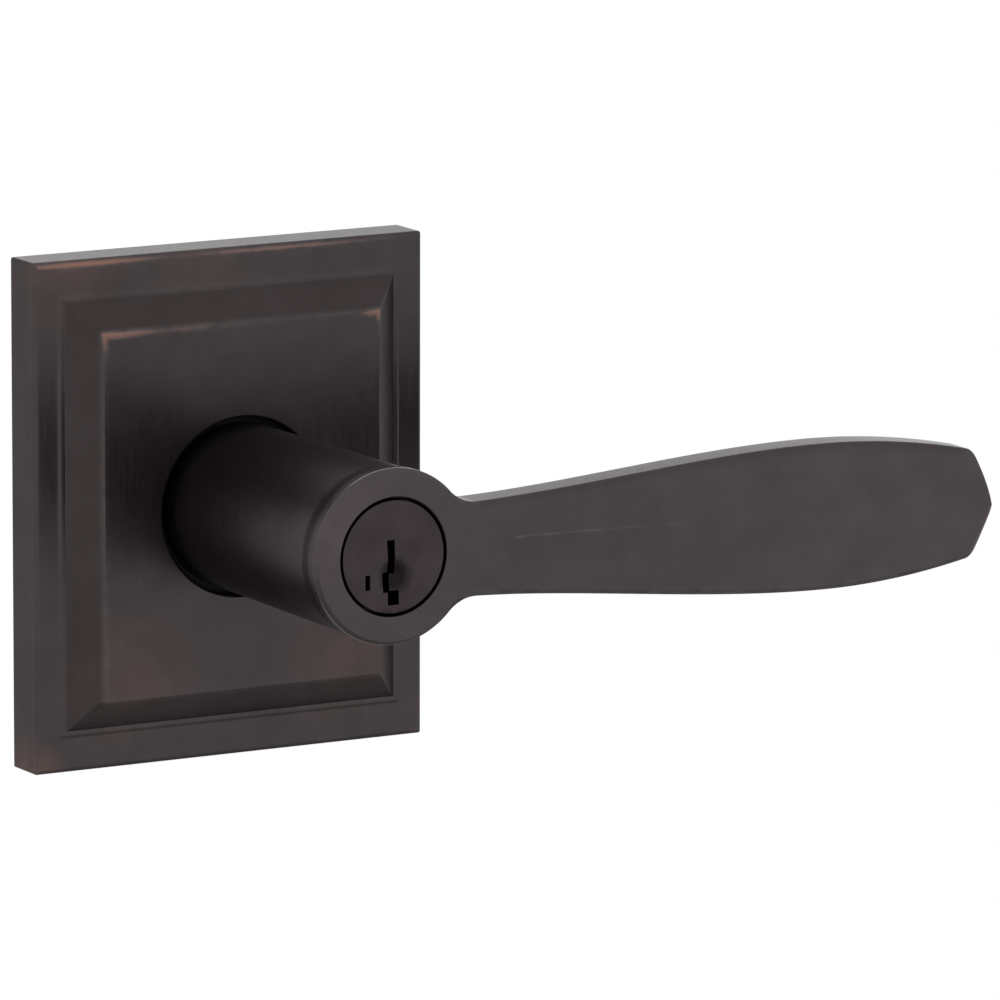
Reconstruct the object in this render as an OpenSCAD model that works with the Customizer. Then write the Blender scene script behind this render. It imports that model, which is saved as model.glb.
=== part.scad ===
// Exterior keyed half of a tubular lever lockset, with its rose, lever, key cylinder and return mechanism.
// Every module is drawn in the door's own plane: x to the right, y up and z straight out of the door.
// The frame module then stands it up: the door face is the XZ plane, the lockset faces -Y, and +Z is up.
// The origin is the spindle axis where it crosses the door face. A height is a distance out of the door.

/* [Rosette] */
// Width of the square-cornered rosette
rosette_w = 68; // [67:0.5:74]
// Height of the rosette
rosette_h = 80; // [79:0.5:90]
// Thickness of the rosette's flat outer border
border_t = 7.5; // [7.3:0.1:8.5]
// Width of the raised centre panel
panel_w = 48.2; // [48:0.1:52]
// Height of the raised centre panel
panel_h = 57.6; // [57:0.1:62]
// How far the centre panel stands out of the border
panel_rise = 4.3; // [4.2:0.1:5]
// Width of the bevel round the panel, seen from the front
bevel_w = 4.7; // [3:0.1:5]
// Wall thickness of the cast rosette
rosette_wall = 2.2; // [1.8:0.1:2.2]
// Radius of the hole that the lever's neck comes through
rosette_hole_r = 14; // [13.8:0.1:15]

/* [Lever] */
// Distance from the door to the front of the lever
lever_front = 60.2; // [60:0.1:66]
// Neck radius where it enters the rosette
neck_r = 13; // [12.8:0.1:13.3]
// Radius of the round head that holds the key cylinder
head_r = 13.6; // [13.5:0.1:14.5]
// Distance from the spindle axis to the tip of the lever
lever_reach = 106.8; // [100:0.1:125]
// How far the grip hangs below level, in degrees
grip_droop = 0.5; // [0:0.1:1]
// Thickness of the flat grip
grip_t = 6.5; // [5:0.1:9]
// Half height of the grip at its waist beside the head
waist_h = 7.3; // [6.5:0.05:8]
// Half height of the grip where it is widest
belly_h = 11.5; // [9.5:0.05:12.5]
// Half height of the grip at the shoulders of its pointed tip
shoulder_h = 8.55; // [7.5:0.05:9]
// How far the tip's point lies below the middle of the grip
tip_drop = 0.5; // [0:0.1:0.8]

/* [Key cylinder] */
// Radius of the plug's visible face
plug_face_r = 8.65; // [8.4:0.05:8.8]
// How far the plug's face lies behind the front of the lever
plug_recess = 0.25; // [0:0.05:0.5]
// Radius of the cylinder's pocket in the lever
pocket_r = 9.15; // [9.1:0.05:9.4]
// Radius of the turning plug behind its face
plug_r = 6.35; // [6.3:0.01:6.4]
// Number of tumbler chambers in the plug
tumbler_count = 5; // [5:1:5]
// Distance between two tumblers
tumbler_pitch = 3.8; // [3.6:0.1:3.9]

/* [Mechanism] */
// Outside radius of the drive sleeve inside the neck
sleeve_r = 8.5; // [8.4:0.05:8.6]
// How far the spindle reaches behind the door face
spindle_depth = 42; // [30:1:60]
// Inside radius of the spring housing
housing_r = 22; // [21.8:0.1:22.2]
// Depth of the spring housing behind the door face
housing_depth = 10; // [10:0.5:12]
// Mean radius of the return spring's coil
coil_r = 16.5; // [16.3:0.1:16.6]
// Largest turn of the lever each way, in degrees
lever_swing = 45; // [40:1:48]

/* [Mounting] */
// Distance between the two through-bolt posts
post_spacing = 38.1; // [38.1:0.1:38.1]
// How far the posts reach behind the door face
post_depth = 22; // [20:0.5:40]
// Radius of the threaded hole in each post
post_hole_r = 2.1; // [1.6:0.05:2.3]

/* [Hidden] */

bronze = "#3a3230";
bronze_face = "#453a3c";
zinc = "#b4b8bc";
spring_steel = "#8d8f94";
brass = "#b89a55";
nylon = "#e6e2d8";

round_fn = 96;
eps = 0.01;
running = 0.05;

panel_height = border_t + panel_rise;
step_h = 0.3;
step_w = 0.9;
step_half_x = panel_w / 2 + bevel_w + step_w;
step_half_y = panel_h / 2 + bevel_w + step_w;

plate_t = 1.6;
flange_t = 1.4;
cover_t = 1.2;
flange_r = housing_r + 5;
drum_wall = 1.4;
drum_r = housing_r + drum_wall;
cover_top = plate_t + flange_t + cover_t;
rivet_r = 1.2;
rivet_circle_r = drum_r + 1.8;

hub_r = 11;
bush_r = 13.55;
bush_top = panel_height - rosette_wall - 0.3;
hub_top = bush_top + 0.3;
hub_end = 0.2;

grip_belly_x = lever_reach * 0.712;
grip_shoulder_x = lever_reach - 4;
grip_waist_x = head_r + 1;
rim_chamfer = 0.9;

sleeve_front = 28;
sleeve_end = -housing_depth - 2.5;
circlip_back = -housing_depth - 1.6;
circlip_front = -housing_depth - 0.7;
sleeve_bore_r = 7.2;
sleeve_flat = 7.9;
flats_end = -3;
web_front = 33;
web_back = 30.5;
web_hole_r = 7.65;

cam_front = -0.6;
cam_back = -2.6;
finger_end = -7.8;
arm_half_w = 2.2;
finger_out_r = coil_r + 3;
finger_in_r = coil_r + 1.5;
wire_r = 0.8;
leg_angle = 9.8;
lobe_half_angle = 12;
stop_pin_r = 1.5;
stop_circle_r = coil_r + 2.5;
stop_angle = lever_swing + lobe_half_angle + 6;

face_t = 2.75;
plug_front = lever_front - plug_recess;
shell_front = plug_front - face_t - 0.2;
shell_tail_end = 28.6;
shell_tail_r = web_hole_r - running;
plug_end = 26.5;
key_x = -0.45;
dish_r = 8;
dish_depth = 0.5;
chamber_r = 1.4;
chamber_floor = -3;
cap_bottom = 5.2;
cap_t = 0.7;
first_chamber = shell_front - 3;
pin_r = chamber_r - running;
pin_top = 2.1;
tailpiece_w = 5;
tailpiece_t = 1.2;
tailpiece_top = 29.8;

catch_height = 18;
catch_pin_r = 1.9;
catch_pin_end = 10.8;
catch_plate_y = 5.4;

// ---------- helpers ----------

// Stands the door-plane drawing up in the part's frame
module frame() {
    rotate([90, 0, 0]) children();
}

// A round bar along the spindle axis between two heights
module bar(r, z0, z1) {
    translate([0, 0, z0]) cylinder(r = r, h = z1 - z0, $fn = round_fn);
}

// A flat ring between two heights
module ring(r_out, r_in, z0, z1) {
    difference() {
        bar(r_out, z0, z1);
        bar(r_in, z0 - 1, z1 + 1);
    }
}

// A ring with a gap, as a circlip has, opening downwards
module open_ring(r_out, r_in, z0, z1, gap) {
    difference() {
        ring(r_out, r_in, z0, z1);
        translate([-gap / 2, -r_out - 1, z0 - 1]) cube([gap, r_out, z1 - z0 + 2]);
    }
}

// A block centred on x and y between two heights
module block(w, h, z0, z1) {
    translate([-w / 2, -h / 2, z0]) cube([w, h, z1 - z0]);
}

// The round sleeve outline with a flat above and below
module double_d(r, flat) {
    intersection() {
        circle(r = r, $fn = round_fn);
        square([2 * r + 2, 2 * flat], center = true);
    }
}

// A wire of round section along points; every stretch runs across the given axis
module wire(points, r, axis, sides = 8) {
    last = len(points) - 1;
    rings = [
        for (i = [0:last])
            let (
                ahead = points[min(i + 1, last)] - points[max(i - 1, 0)],
                side = cross(ahead, axis),
                n = side / norm(side),
                b = cross(n, ahead) / norm(ahead)
            )
            for (k = [0:sides - 1])
                points[i] + r * (cos(360 * k / sides) * n + sin(360 * k / sides) * b)
    ];
    walls = [
        for (i = [0:last - 1], k = [0:sides - 1])
            let (next = (k + 1) % sides)
            [i * sides + k, i * sides + next, (i + 1) * sides + next, (i + 1) * sides + k]
    ];
    start_cap = [for (k = [sides - 1:-1:0]) k];
    end_cap = [for (k = [0:sides - 1]) last * sides + k];
    polyhedron(rings, concat([start_cap], walls, [end_cap]));
}

// ---------- rosette and door-side frame ----------

// The bevelled centre: two crossed prisms leave a frustum with mitred corners
module bevelled_panel() {
    half_w = panel_w / 2;
    half_h = panel_h / 2;
    foot = border_t + step_h;
    intersection() {
        rotate([90, 0, 0]) linear_extrude(rosette_h, center = true) polygon([
            [-half_w - bevel_w, 0], [half_w + bevel_w, 0], [half_w + bevel_w, foot],
            [half_w, panel_height], [-half_w, panel_height], [-half_w - bevel_w, foot],
        ]);
        rotate([90, 0, 90]) linear_extrude(rosette_w, center = true) polygon([
            [-half_h - bevel_w, 0], [half_h + bevel_w, 0], [half_h + bevel_w, foot],
            [half_h, panel_height], [-half_h, panel_height], [-half_h - bevel_w, foot],
        ]);
    }
}

module rosette() {
    color(bronze) frame() difference() {
        union() {
            block(rosette_w, rosette_h, 0, border_t);
            block(2 * step_half_x, 2 * step_half_y, 0, border_t + step_h);
            bevelled_panel();
        }
        block(rosette_w - 2 * rosette_wall, rosette_h - 2 * rosette_wall, -1, border_t - rosette_wall);
        block(panel_w - 2 * rosette_wall, panel_h - 2 * rosette_wall, -1, panel_height - rosette_wall);
        bar(rosette_hole_r, 0, panel_height + 1);
    }
}

// Steel plate that lies on the door inside the rosette
module rose_plate() {
    plate_w = rosette_w - 2 * rosette_wall - 2 * 0.8;
    plate_h = rosette_h - 2 * rosette_wall - 2 * 0.8;
    corner_r = 4;
    color(zinc) frame() difference() {
        union() {
            block(plate_w - 2 * corner_r, plate_h, 0, plate_t);
            block(plate_w, plate_h - 2 * corner_r, 0, plate_t);
            for (x = [-1, 1], y = [-1, 1])
                translate([x * (plate_w / 2 - corner_r), y * (plate_h / 2 - corner_r), 0])
                    bar(corner_r, 0, plate_t);
        }
        bar(drum_r + 0.1, -1, plate_t + 1);
        rivet_places() bar(rivet_r + running, -1, plate_t + 1);
        clip_places() bar(1 + running, -1, plate_t + 1);
    }
}

module rivet_places() {
    for (a = [45:90:315]) rotate(a) translate([rivet_circle_r, 0, 0]) children();
}

module clip_places() {
    for (y = [-1, 1]) translate([0, y * (rosette_h / 2 - 8.5), 0]) children();
}

module post_places() {
    for (x = [-1, 1]) translate([x * post_spacing / 2, 0, 0]) children();
}

module stop_places() {
    for (s = [-1, 1]) rotate(-90 + s * stop_angle) translate([stop_circle_r, 0, 0]) children();
}

// Pressed drum behind the plate: it holds the return spring and the sleeve's rear bearing
module spring_housing() {
    wall_bottom = -housing_depth + drum_wall;
    color(zinc) frame() {
        difference() {
            union() {
                bar(flange_r, plate_t, plate_t + flange_t);
                bar(drum_r, -housing_depth, plate_t + eps);
            }
            bar(housing_r, wall_bottom, plate_t + flange_t + 1);
            bar(sleeve_r + running, -housing_depth - 1, 0);
            rivet_places() bar(rivet_r + running, 0, plate_t + flange_t + 1);
            post_places() bar(2.4, -housing_depth - 1, 0);
            stop_places() bar(stop_pin_r, -housing_depth - 1, 0);
        }
        // fixed lug that the spring's two legs straddle
        translate([-2.6, finger_out_r + 0.6, wall_bottom - eps])
            cube([5.2, housing_r - finger_out_r - 0.3, 5.8]);
    }
}

module spring_cover() {
    color(zinc) frame() difference() {
        bar(flange_r, plate_t + flange_t, cover_top);
        bar(bush_r + running, plate_t, cover_top + 1);
        rivet_places() bar(rivet_r + running, plate_t, cover_top + 1);
    }
}

module housing_rivets() {
    color(zinc) frame() rivet_places() {
        bar(rivet_r, 0, cover_top + eps);
        bar(2.2, cover_top, cover_top + 0.8);
    }
}

// Bush that the lever's hub turns in, with the collar that shows round the neck
module bearing_bush() {
    color(nylon) frame() difference() {
        union() {
            bar(16, cover_top, bush_top);
            bar(bush_r, -hub_end, cover_top + eps);
        }
        bar(hub_r + running, -1, bush_top + 1);
    }
}

module stop_pins() {
    color(zinc) frame() stop_places() bar(stop_pin_r, -housing_depth, -0.2);
}

module screw_posts() {
    color(zinc) frame() post_places() difference() {
        union() {
            bar(3.2, -post_depth, -housing_depth);
            bar(2.4, -housing_depth - eps, -housing_depth + drum_wall);
        }
        bar(post_hole_r, -post_depth - 1, -housing_depth - 0.5);
    }
}

// Leaf clips that grip the rosette's inside wall at the top and the bottom
module rosette_clips() {
    foot_start = flange_r + 1.2;
    tongue_y = rosette_h / 2 - rosette_wall - 0.5;
    leaf_t = 0.4;
    color(spring_steel) frame() for (turn = [0, 180]) rotate(turn) difference() {
        rotate([90, 0, 90]) linear_extrude(12, center = true) polygon([
            [foot_start, plate_t], [tongue_y, plate_t], [tongue_y, 3.2], [tongue_y + 0.4, 4.2],
            [tongue_y, 5.0], [tongue_y - leaf_t, 5.0], [tongue_y, 4.2], [tongue_y - leaf_t, 3.2],
            [tongue_y - leaf_t, plate_t + leaf_t], [foot_start, plate_t + leaf_t],
        ]);
        translate([0, rosette_h / 2 - 8.5, 0]) bar(1 + running, 0, 3);
    }
}

module clip_rivets() {
    color(zinc) frame() clip_places() {
        bar(1, 0, plate_t + 0.4 + eps);
        bar(1.8, plate_t + 0.4, plate_t + 1);
    }
}

// Centring torsion spring: two turns, with both legs bent outwards at the top
function spring_leg(side, height) = [
    for (t = [0:30:90])
        let (
            bend = 1.6,
            a = 90 + side * leg_angle,
            out = coil_r + bend - bend * sin(t),
            along = side * (bend - bend * cos(t))
        )
        [out * cos(a) - along * sin(a), out * sin(a) + along * cos(a), height]
];

module return_spring() {
    turns = 2;
    start_z = cam_back - 1.1;
    pitch = 1.8;
    bend_angle = asin(1.6 / coil_r);
    first = 90 + leg_angle + bend_angle;
    last = 90 - leg_angle - bend_angle + 360 * turns;
    end_z = start_z - pitch * (last - first) / 360;
    steps = 30 * turns;
    leg_tip = function (side, height)
        let (a = 90 + side * leg_angle)
        [(finger_out_r + 1.7) * cos(a), (finger_out_r + 1.7) * sin(a), height];
    coil = [
        for (i = [1:steps - 1])
            let (a = first + (last - first) * i / steps)
            [coil_r * cos(a), coil_r * sin(a), start_z + (end_z - start_z) * i / steps]
    ];
    end_leg = spring_leg(-1, end_z);
    route = concat(
        [leg_tip(1, start_z)], spring_leg(1, start_z), coil,
        [for (i = [3:-1:0]) end_leg[i]], [leg_tip(-1, end_z)]
    );
    color(spring_steel) frame() wire(route, wire_r, [0, 0, 1]);
}

// ---------- lever and what turns with it ----------

// Half height of the grip from its waist to its widest place
function rise_h(t) =
    waist_h + (belly_h - waist_h) * (3 * t * t - 2 * t * t * t + 0.5 * (t - 2 * t * t + t * t * t));

// Half height of the grip from its widest place to the tip's shoulders
function fall_h(t) = belly_h - (belly_h - shoulder_h) * t * t;

// Upper edge of the grip, from the head's wall outside the cylinder's pocket to just before the tip's point
function grip_edge() = concat(
    [[pocket_r + 0.45, head_r * 0.62], [head_r * 0.82, waist_h + 0.95], [head_r * 0.94, waist_h + 0.25]],
    [
        for (i = [0:16])
            [grip_waist_x + (grip_belly_x - grip_waist_x) * i / 16, rise_h(i / 16)]
    ],
    [
        for (i = [1:10])
            [grip_belly_x + (grip_shoulder_x - grip_belly_x) * i / 10, fall_h(i / 10)]
    ],
    [[grip_shoulder_x + 0.7, shoulder_h - 1.05], [lever_reach - 1.9, 4.9], [lever_reach - 0.45, 1.6]]
);

module grip_outline() {
    edge = grip_edge();
    lower = [for (i = [len(edge) - 1:-1:0]) [edge[i][0], -edge[i][1]]];
    polygon(concat(edge, [[lever_reach, -tip_drop]], lower));
}

module lever_handle() {
    color(bronze) frame() difference() {
        union() {
            rotate_extrude($fn = round_fn) polygon([
                [0, hub_end], [hub_r, hub_end], [hub_r, hub_top], [neck_r - 0.5, hub_top],
                [neck_r, hub_top + 0.5], [head_r, lever_front - rim_chamfer],
                [head_r - rim_chamfer, lever_front], [0, lever_front],
            ]);
            translate([0, 0, lever_front - grip_t]) rotate(-grip_droop) linear_extrude(grip_t)
                grip_outline();
        }
        bar(pocket_r, web_front, lever_front + 1);
        bar(web_hole_r, web_back - 1, web_front + 1);
        bar(sleeve_r + running, sleeve_front, web_back);
        translate([0, 0, hub_end - 1]) linear_extrude(sleeve_front + 1)
            double_d(sleeve_r + running, sleeve_flat + running);
        // hole under the neck, where the catch's tip sits
        translate([0, -sleeve_flat + 1, catch_height]) rotate([90, 0, 0])
            cylinder(r = catch_pin_r + 0.3, h = neck_r, $fn = round_fn);
    }
}

module drive_sleeve() {
    color(zinc) frame() difference() {
        union() {
            translate([0, 0, flats_end]) linear_extrude(sleeve_front - flats_end)
                double_d(sleeve_r, sleeve_flat);
            bar(sleeve_r, sleeve_end, flats_end + eps);
        }
        bar(sleeve_bore_r, sleeve_end - 1, sleeve_front + 1);
        ring(sleeve_r + 1, sleeve_r - 0.6, circlip_back, circlip_front);
        translate([0, -5, catch_height]) rotate([90, 0, 0])
            cylinder(r = catch_pin_r + running, h = 5, $fn = round_fn);
        translate([0, 0, -5.75]) rotate([90, 0, 0])
            cylinder(r = 0.8, h = 2 * sleeve_r + 2, center = true, $fn = round_fn);
    }
}

// Half-round torque spindle that drives the latch, on a disc fixed in the sleeve
module half_round_spindle() {
    spindle_r = 5.2;
    color(zinc) frame() difference() {
        union() {
            bar(sleeve_bore_r, -8, -3.5);
            difference() {
                bar(spindle_r, -spindle_depth, -8 + eps);
                translate([-spindle_r - 1, -spindle_r - 1, -spindle_depth - 1])
                    cube([2 * spindle_r + 2, spindle_r + 1, spindle_depth - 8 + 1]);
            }
        }
        bar(3.2, -spindle_depth - 1, 0);
        translate([0, 0, -5.75]) rotate([90, 0, 0])
            cylinder(r = 0.8, h = 2 * sleeve_r, center = true, $fn = round_fn);
    }
}

module spindle_pins() {
    color(spring_steel) frame() for (turn = [0, 180]) rotate(turn)
        translate([0, 4, -5.75]) rotate([-90, 0, 0]) cylinder(r = 0.8, h = 4.3, $fn = round_fn);
}

// Cam that carries the spring finger at the top and the stop lobe at the bottom
module return_cam() {
    lobe_r = stop_circle_r + 1.6;
    lobe_x = lobe_r * sin(lobe_half_angle);
    lobe_y = -lobe_r * cos(lobe_half_angle);
    color(zinc) frame() {
        difference() {
            union() {
                bar(12, cam_back, cam_front);
                translate([-arm_half_w, 0, cam_back])
                    cube([2 * arm_half_w, finger_out_r, cam_front - cam_back]);
                translate([0, 0, cam_back]) linear_extrude(cam_front - cam_back)
                    polygon([[0, 0], [lobe_x, lobe_y], [-lobe_x, lobe_y]]);
            }
            translate([0, 0, cam_back - 1]) linear_extrude(cam_front - cam_back + 2)
                double_d(sleeve_r + running, sleeve_flat + running);
        }
        translate([-arm_half_w, finger_in_r, finger_end])
            cube([2 * arm_half_w, finger_out_r - finger_in_r, cam_back - finger_end + eps]);
    }
}

module thrust_washer() {
    color(zinc) frame() ring(12.5, sleeve_r + 0.1, -housing_depth - 0.6, -housing_depth - 0.1);
}

module sleeve_circlip() {
    color(spring_steel) frame()
        open_ring(sleeve_r + 2.1, sleeve_r - 0.55, circlip_back + running, circlip_front - running, 4);
}

// Fixed shell of the key cylinder, with the groove that the sidebar locks into
module cylinder_shell() {
    color(brass) frame() difference() {
        union() {
            bar(pocket_r - running, web_front, shell_front);
            bar(shell_tail_r, shell_tail_end, web_front + eps);
        }
        bar(plug_r + running, shell_tail_end - 1, shell_front + 1);
        ring(shell_tail_r + 1, shell_tail_r - 0.6, 29.5, 30.4);
        translate([-plug_r - 0.8, -0.7, first_chamber - 18]) cube([2, 1.4, 19]);
    }
}

module cylinder_clip() {
    color(spring_steel) frame() open_ring(sleeve_r - 0.1, shell_tail_r - 0.55, 29.55, 30.35, 3);
}

// Hairpin strip inside the sleeve, with two feet that push the catch down
module catch_spring() {
    strip_r = sleeve_bore_r - 0.25;
    strip_t = 0.4;
    foot_y = catch_plate_y - 0.35;
    foot_x = sqrt(strip_r * strip_r - foot_y * foot_y) - 0.1;
    color(spring_steel) frame() translate([0, 0, catch_height - 1.8]) linear_extrude(3.6) {
        difference() {
            circle(r = strip_r, $fn = round_fn);
            circle(r = strip_r - strip_t, $fn = round_fn);
            translate([-strip_r - 1, -foot_y - strip_r]) square([2 * strip_r + 2, strip_r]);
        }
        for (s = [0, 1]) mirror([s, 0]) translate([1.6, -foot_y]) square([foot_x - 1.6, strip_t]);
    }
}

// Push catch that holds the lever on the sleeve
module lever_catch() {
    color(zinc) frame() {
        translate([-2.4, -catch_plate_y - 1.2, catch_height - 2.4]) cube([4.8, 1.2, 4.8]);
        translate([0, -catch_plate_y - 1, catch_height]) rotate([90, 0, 0])
            cylinder(r = catch_pin_r, h = catch_pin_end - catch_plate_y - 1, $fn = round_fn);
    }
}

// ---------- key cylinder's turning plug ----------

// Zigzag outline of the keyway
module keyway() {
    polygon([[key_x - 0.65, 2.6], [key_x - 0.35, -2.6], [key_x + 0.85, -2.6], [key_x + 0.65, 2.6]]);
    translate([key_x - 1.3, -5.4]) square([1.2, 3]);
    translate([key_x - 0.5, -7.4]) square([1.9, 2.2]);
}

module chamber_places() {
    for (i = [0:tumbler_count - 1]) translate([key_x, 0, first_chamber - i * tumbler_pitch]) children();
}

module key_plug() {
    back_of_keyway = 31;
    color(bronze_face) frame() difference() {
        union() {
            bar(plug_face_r, plug_front - face_t, plug_front);
            bar(plug_r, plug_end, plug_front - face_t + eps);
        }
        translate([0, 0, back_of_keyway]) linear_extrude(plug_front - back_of_keyway + 1) keyway();
        // shallow dish round the lower keyway and the small service slot beside it
        translate([0.1, -3.05, plug_front + dish_r - dish_depth]) sphere(r = dish_r, $fn = round_fn);
        translate([-4.8, -4.8, plug_front - 6]) cube([0.8, 2.3, 7]);
        chamber_places() rotate([-90, 0, 0]) translate([0, 0, chamber_floor])
            cylinder(r = chamber_r, h = cap_bottom - chamber_floor + eps, $fn = round_fn);
        // slot for the cap that closes the chambers
        translate([key_x - 1.65, cap_bottom, first_chamber - 4 * tumbler_pitch - 2.2])
            cube([3.3, 2, 4 * tumbler_pitch + 4.4]);
        // slot for the sidebar
        translate([-plug_r - 1, -0.75, first_chamber - 17.5]) cube([plug_r + 1 - 4.6, 1.5, 18]);
        ring(plug_r + 1, plug_r - 0.75, 27.6, 28.4);
        block(tailpiece_t + 0.1, tailpiece_w + 0.1, plug_end - 1, tailpiece_top + 0.1);
    }
}

module plug_circlip() {
    color(spring_steel) frame() open_ring(6.9, plug_r - 0.7, 27.65, 28.35, 3);
}

module tailpiece() {
    color(zinc) frame() block(tailpiece_t, tailpiece_w, -spindle_depth - 2, tailpiece_top);
}

module sidebar() {
    color(brass) frame() translate([-6.2, -0.7, first_chamber - 17]) cube([1.5, 1.4, 17]);
}

module chamber_cap() {
    color(brass) frame() translate([key_x - 1.6, cap_bottom, first_chamber - 4 * tumbler_pitch - 2.1])
        cube([3.2, cap_t, 4 * tumbler_pitch + 4.2]);
}

module tumbler_springs() {
    turns = 4;
    steps = 10 * turns;
    spring_wire = 0.15;
    mean_r = 0.95;
    low = pin_top + spring_wire + 0.02;
    high = cap_bottom - spring_wire - 0.02;
    route = [
        for (i = [0:steps])
            let (a = 360 * turns * i / steps)
            [mean_r * cos(a), low + (high - low) * i / steps, mean_r * sin(a)]
    ];
    color(spring_steel) frame() chamber_places() wire(route, spring_wire, [0, 1, 0], 5);
}

// A tumbler pin with a tapered tip, standing in its chamber above the key's path
module tumbler(index) {
    bottom = chamber_floor + 0.1;
    color(brass) frame() translate([key_x, 0, first_chamber - (index - 1) * tumbler_pitch])
        rotate([-90, 0, 0]) rotate_extrude($fn = 48) polygon([
            [0, bottom], [0.5, bottom], [pin_r, bottom + 0.8], [pin_r, pin_top], [0, pin_top],
        ]);
}

rosette();
rose_plate();
spring_housing();
spring_cover();
housing_rivets();
bearing_bush();
stop_pins();
screw_posts();
rosette_clips();
clip_rivets();
return_spring();
lever_handle();
drive_sleeve();
half_round_spindle();
spindle_pins();
return_cam();
thrust_washer();
sleeve_circlip();
cylinder_shell();
cylinder_clip();
catch_spring();
lever_catch();
key_plug();
plug_circlip();
tailpiece();
sidebar();
chamber_cap();
tumbler_springs();
tumbler(1);  // tumbler_1
tumbler(2);  // tumbler_2
tumbler(3);  // tumbler_3
tumbler(4);  // tumbler_4
tumbler(5);  // tumbler_5
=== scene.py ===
"""Looks of the keyed lever handle lockset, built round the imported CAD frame.

Pieces are drawn in the door's own plane, in millimetres: x to the right, up, and out from the door.
place() turns such a point into the frame, in metres: the door face is the XZ plane and out is -Y.
"""
import math

import bmesh
import bpy
from mathutils import Matrix, Vector


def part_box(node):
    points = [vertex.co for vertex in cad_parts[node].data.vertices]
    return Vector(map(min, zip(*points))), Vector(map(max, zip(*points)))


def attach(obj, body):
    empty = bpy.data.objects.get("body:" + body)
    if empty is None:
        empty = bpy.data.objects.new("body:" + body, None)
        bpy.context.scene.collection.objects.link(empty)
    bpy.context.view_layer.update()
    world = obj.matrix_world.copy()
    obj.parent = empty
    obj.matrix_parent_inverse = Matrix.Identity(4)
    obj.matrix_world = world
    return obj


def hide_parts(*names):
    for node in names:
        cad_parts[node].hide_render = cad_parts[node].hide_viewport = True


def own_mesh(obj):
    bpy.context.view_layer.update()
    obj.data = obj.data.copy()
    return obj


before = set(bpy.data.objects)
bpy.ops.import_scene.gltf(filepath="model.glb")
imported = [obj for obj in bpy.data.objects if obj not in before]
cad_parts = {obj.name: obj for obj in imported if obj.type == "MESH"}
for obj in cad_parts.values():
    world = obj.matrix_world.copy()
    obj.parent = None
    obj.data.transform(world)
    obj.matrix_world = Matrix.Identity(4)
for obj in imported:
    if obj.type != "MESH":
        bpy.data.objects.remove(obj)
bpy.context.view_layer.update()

MM = 0.001


# ---------- drawing helpers ----------

def place(x, up, out):
    """A point of the door-plane drawing, in the frame, in metres."""
    return Vector((x * MM, -out * MM, up * MM))


def box_mm(node):
    """Lowest and highest corner of a CAD node in the door-plane drawing, in millimetres."""
    low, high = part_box(node)
    return (low.x / MM, low.z / MM, -high.y / MM), (high.x / MM, high.z / MM, -low.y / MM)


def smoothstep(t):
    """0 up to 0 and 1 from 1 on, with a soft rise between."""
    t = min(max(t, 0.0), 1.0)
    return t * t * (3 - 2 * t)


def arc(centre, radius, start_deg, end_deg, steps):
    """Points (across, out) of an arc, both ends included.

    0 degrees points across and 90 degrees points out of the door.
    """
    points = []
    for i in range(steps + 1):
        a = math.radians(start_deg + (end_deg - start_deg) * i / steps)
        points.append((centre[0] + radius * math.cos(a), centre[1] + radius * math.sin(a)))
    return points


def bezier(start, control, end, steps):
    """Points of a quadratic curve, without its first point."""
    points = []
    for i in range(1, steps + 1):
        t = i / steps
        weighted = list(zip(((1 - t) ** 2, 2 * t * (1 - t), t * t), (start, control, end)))
        points.append(tuple(sum(weight * point[k] for weight, point in weighted) for k in (0, 1)))
    return points


def loft(loops, closed=False):
    """Quads between loops that have the same number of points.

    A closed loft joins its last loop to its first.
    """
    count = len(loops[0])
    verts = [point for loop in loops for point in loop]
    faces = []
    for row in range(len(loops) - (0 if closed else 1)):
        a = row * count
        b = (row + 1) % len(loops) * count
        for i in range(count):
            j = (i + 1) % count
            faces.append((a + i, a + j, b + j, b + i))
    return verts, faces


def lathe(profile, sides=128):
    """A closed ring of profile points (radius, out) turned about the spindle axis."""
    loops = []
    for radius, out in profile:
        angles = [2 * math.pi * k / sides for k in range(sides)]
        loops.append([place(radius * math.cos(a), radius * math.sin(a), out) for a in angles])
    return loft(loops, closed=True)


def new_object(name, verts, faces):
    """An object with a clean closed mesh whose faces look outwards."""
    mesh = bpy.data.meshes.new(name)
    mesh.from_pydata([tuple(v) for v in verts], [], faces)
    bm = bmesh.new()
    bm.from_mesh(mesh)
    bmesh.ops.remove_doubles(bm, verts=bm.verts, dist=0.002 * MM)
    bmesh.ops.dissolve_degenerate(bm, edges=bm.edges, dist=0.001 * MM)
    bmesh.ops.recalc_face_normals(bm, faces=bm.faces)
    bm.to_mesh(mesh)
    bm.free()
    piece = bpy.data.objects.new(name, mesh)
    bpy.context.scene.collection.objects.link(piece)
    return piece


def carve(piece, tool, operation):
    """Joins the tool to the piece, or cuts it out, and removes the tool."""
    modifier = piece.modifiers.new("carve", "BOOLEAN")
    modifier.operation = operation
    modifier.solver = "EXACT"
    modifier.object = tool
    bpy.context.view_layer.update()
    result = piece.evaluated_get(bpy.context.evaluated_depsgraph_get())
    mesh = bpy.data.meshes.new_from_object(result)
    piece.modifiers.clear()
    piece.data = mesh
    bpy.data.objects.remove(tool)


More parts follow.
